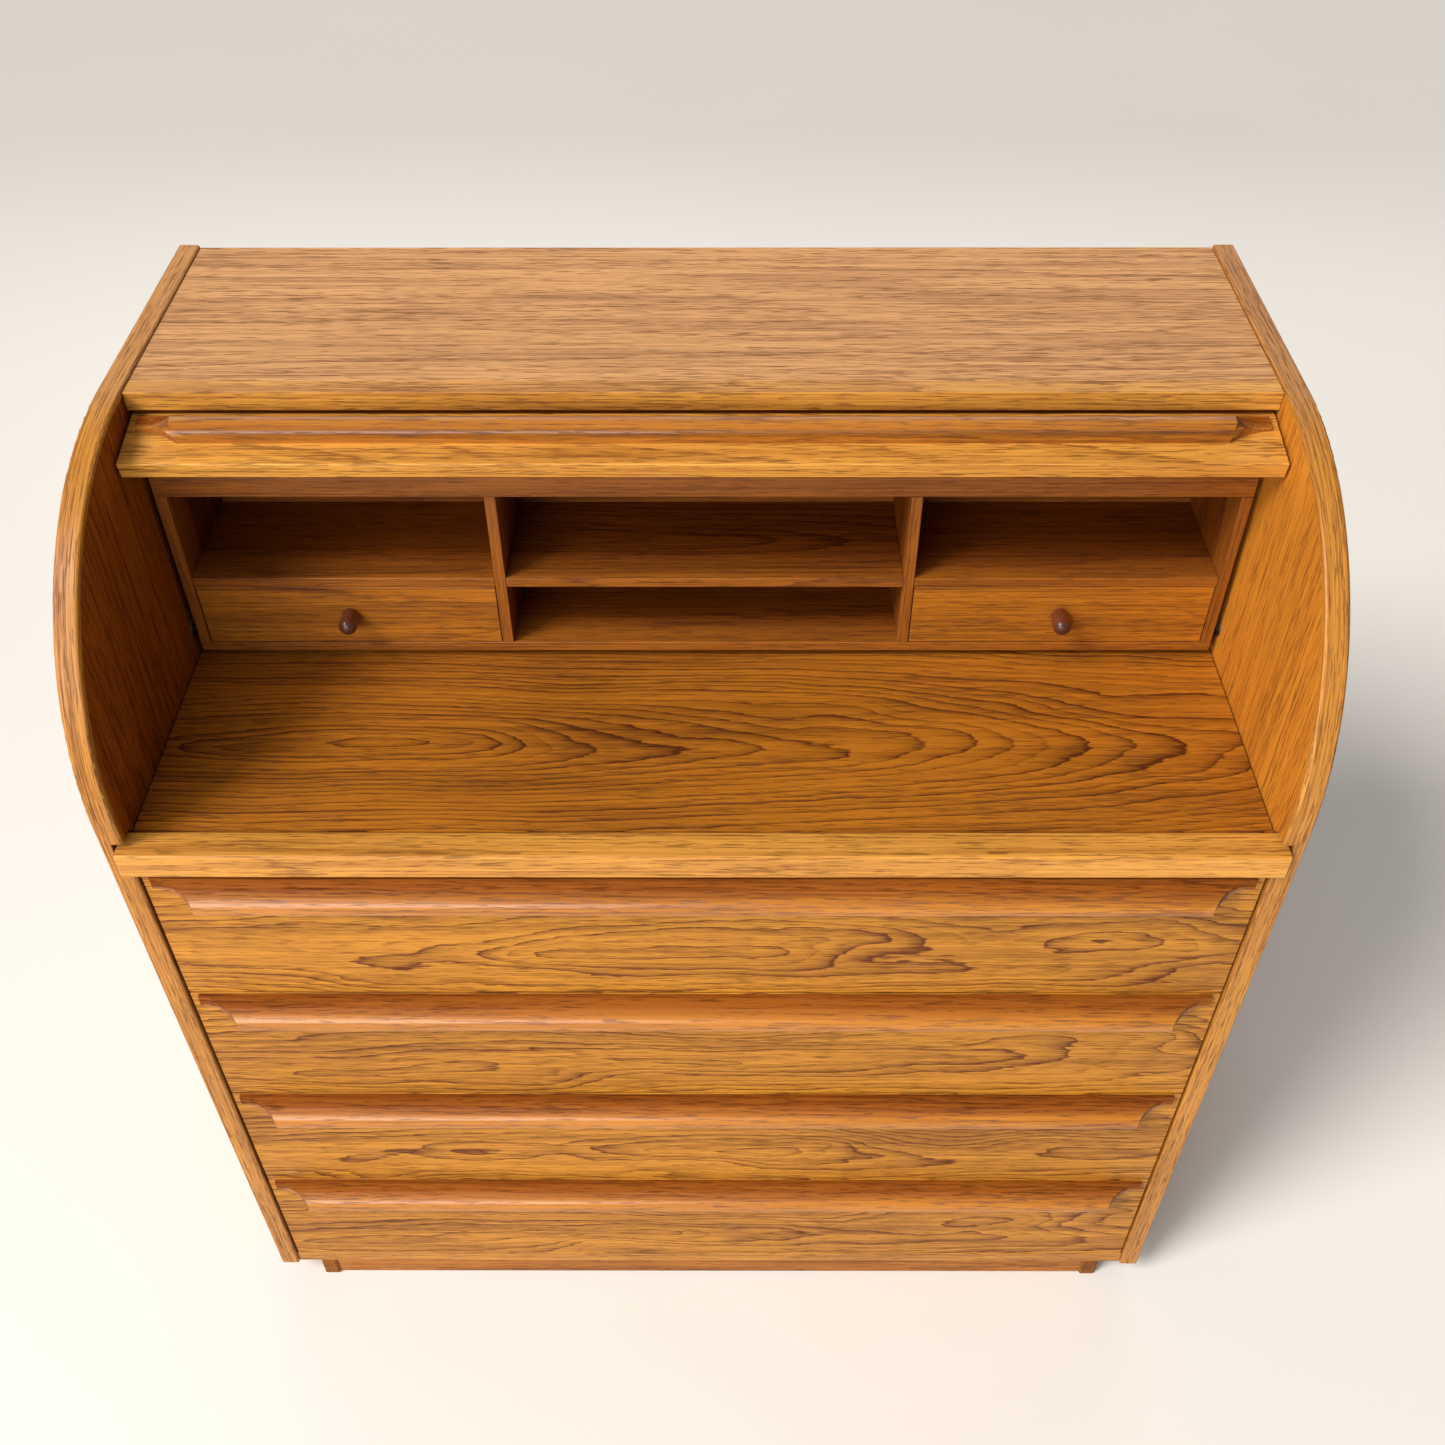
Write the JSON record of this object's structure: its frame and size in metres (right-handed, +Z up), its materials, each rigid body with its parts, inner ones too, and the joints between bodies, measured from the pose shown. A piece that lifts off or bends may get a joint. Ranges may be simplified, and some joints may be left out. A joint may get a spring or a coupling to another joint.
{
  "type": "roll top desk",
  "caption": "Teak roll top desk with a quarter-round lid, pigeonholes, small drawers, a pull-out writing surface and full-width drawers.",
  "frame": {"origin": "centre of the overall footprint, on the floor", "axes": "+Z up, the front faces -Y, +X to the right of somebody facing the desk"},
  "size_m": [1, 0.534, 1.046],
  "materials": {
    "teak_panel": "satin",
    "teak_solid": "satin",
    "teak_pull": "satin",
    "knob_wood": "gloss",
    "beech": "matte",
    "birch_ply": "matte",
    "back_ply": "matte",
    "steel": "satin",
    "nylon": "matte"
  },
  "bodies": {
    "case": {"back_panel": "back_ply", "back_panel_screws": "steel", "base_rails": "teak_solid", "bottom_panel": "teak_panel", "case_dowels": "beech", "desktop_runners": "beech", "drawer_runners": "beech", "foot_boards": "teak_solid", "front_stretcher": "beech", "lid_pivot_pins": "steel", "lid_stops": "beech", "lid_washers": "nylon", "organizer_back": "teak_panel", "organizer_bearer": "beech", "organizer_bottom": "teak_panel", "organizer_dividers": "teak_panel", "organizer_screws": "steel", "organizer_shelf_center": "teak_panel", "organizer_side_shelves": "teak_panel", "organizer_top": "teak_panel", "organizer_wall_left": "teak_panel", "organizer_wall_right": "teak_panel", "side_lipping_left": "teak_solid", "side_lipping_right": "teak_solid", "side_panel_left": "teak_panel", "side_panel_right": "teak_panel", "top_lipping": "teak_solid", "top_panel": "teak_panel"},
    "lid": {"lid_arm_left": "steel", "lid_arm_right": "steel", "lid_arm_screws": "steel", "lid_pull": "teak_pull", "lid_rail": "teak_solid", "lid_shell": "teak_panel"},
    "writing_surface": {"desktop_lipping": "teak_solid", "desktop_panel": "teak_panel"},
    "drawer_1": {"drawer_1_bottom": "birch_ply", "drawer_1_box": "beech", "drawer_1_front": "teak_panel", "drawer_1_pull": "teak_pull"},
    "drawer_2": {"drawer_2_bottom": "birch_ply", "drawer_2_box": "beech", "drawer_2_front": "teak_panel", "drawer_2_pull": "teak_pull"},
    "drawer_3": {"drawer_3_bottom": "birch_ply", "drawer_3_box": "beech", "drawer_3_front": "teak_panel", "drawer_3_pull": "teak_pull"},
    "drawer_4": {"drawer_4_bottom": "birch_ply", "drawer_4_box": "beech", "drawer_4_front": "teak_panel", "drawer_4_pull": "teak_pull"},
    "small_drawer_left": {"small_drawer_left_bottom": "birch_ply", "small_drawer_left_box": "beech", "small_drawer_left_front": "teak_panel", "small_drawer_left_knob": "knob_wood"},
    "small_drawer_right": {"small_drawer_right_bottom": "birch_ply", "small_drawer_right_box": "beech", "small_drawer_right_front": "teak_panel", "small_drawer_right_knob": "knob_wood"}
  },
  "joints": [
    {"name": "lid_hinge", "type": "hinge", "parent": "case", "child": "lid", "pos_m": [0, 0.003, 0.796], "axis": [1, 0, 0], "range_deg": [0, 84]},
    {"name": "writing_surface_slide", "type": "slide", "parent": "case", "child": "writing_surface", "axis": [0, -1, 0], "range_m": [0, 0.18]},
    {"name": "drawer_1_slide", "type": "slide", "parent": "case", "child": "drawer_1", "axis": [0, -1, 0], "range_m": [0, 0.3]},
    {"name": "drawer_2_slide", "type": "slide", "parent": "case", "child": "drawer_2", "axis": [0, -1, 0], "range_m": [0, 0.3]},
    {"name": "drawer_3_slide", "type": "slide", "parent": "case", "child": "drawer_3", "axis": [0, -1, 0], "range_m": [0, 0.3]},
    {"name": "drawer_4_slide", "type": "slide", "parent": "case", "child": "drawer_4", "axis": [0, -1, 0], "range_m": [0, 0.3]},
    {"name": "small_drawer_left_slide", "type": "slide", "parent": "case", "child": "small_drawer_left", "axis": [0, -1, 0], "range_m": [0, 0.085]},
    {"name": "small_drawer_right_slide", "type": "slide", "parent": "case", "child": "small_drawer_right", "axis": [0, -1, 0], "range_m": [0, 0.085]}
  ]
}
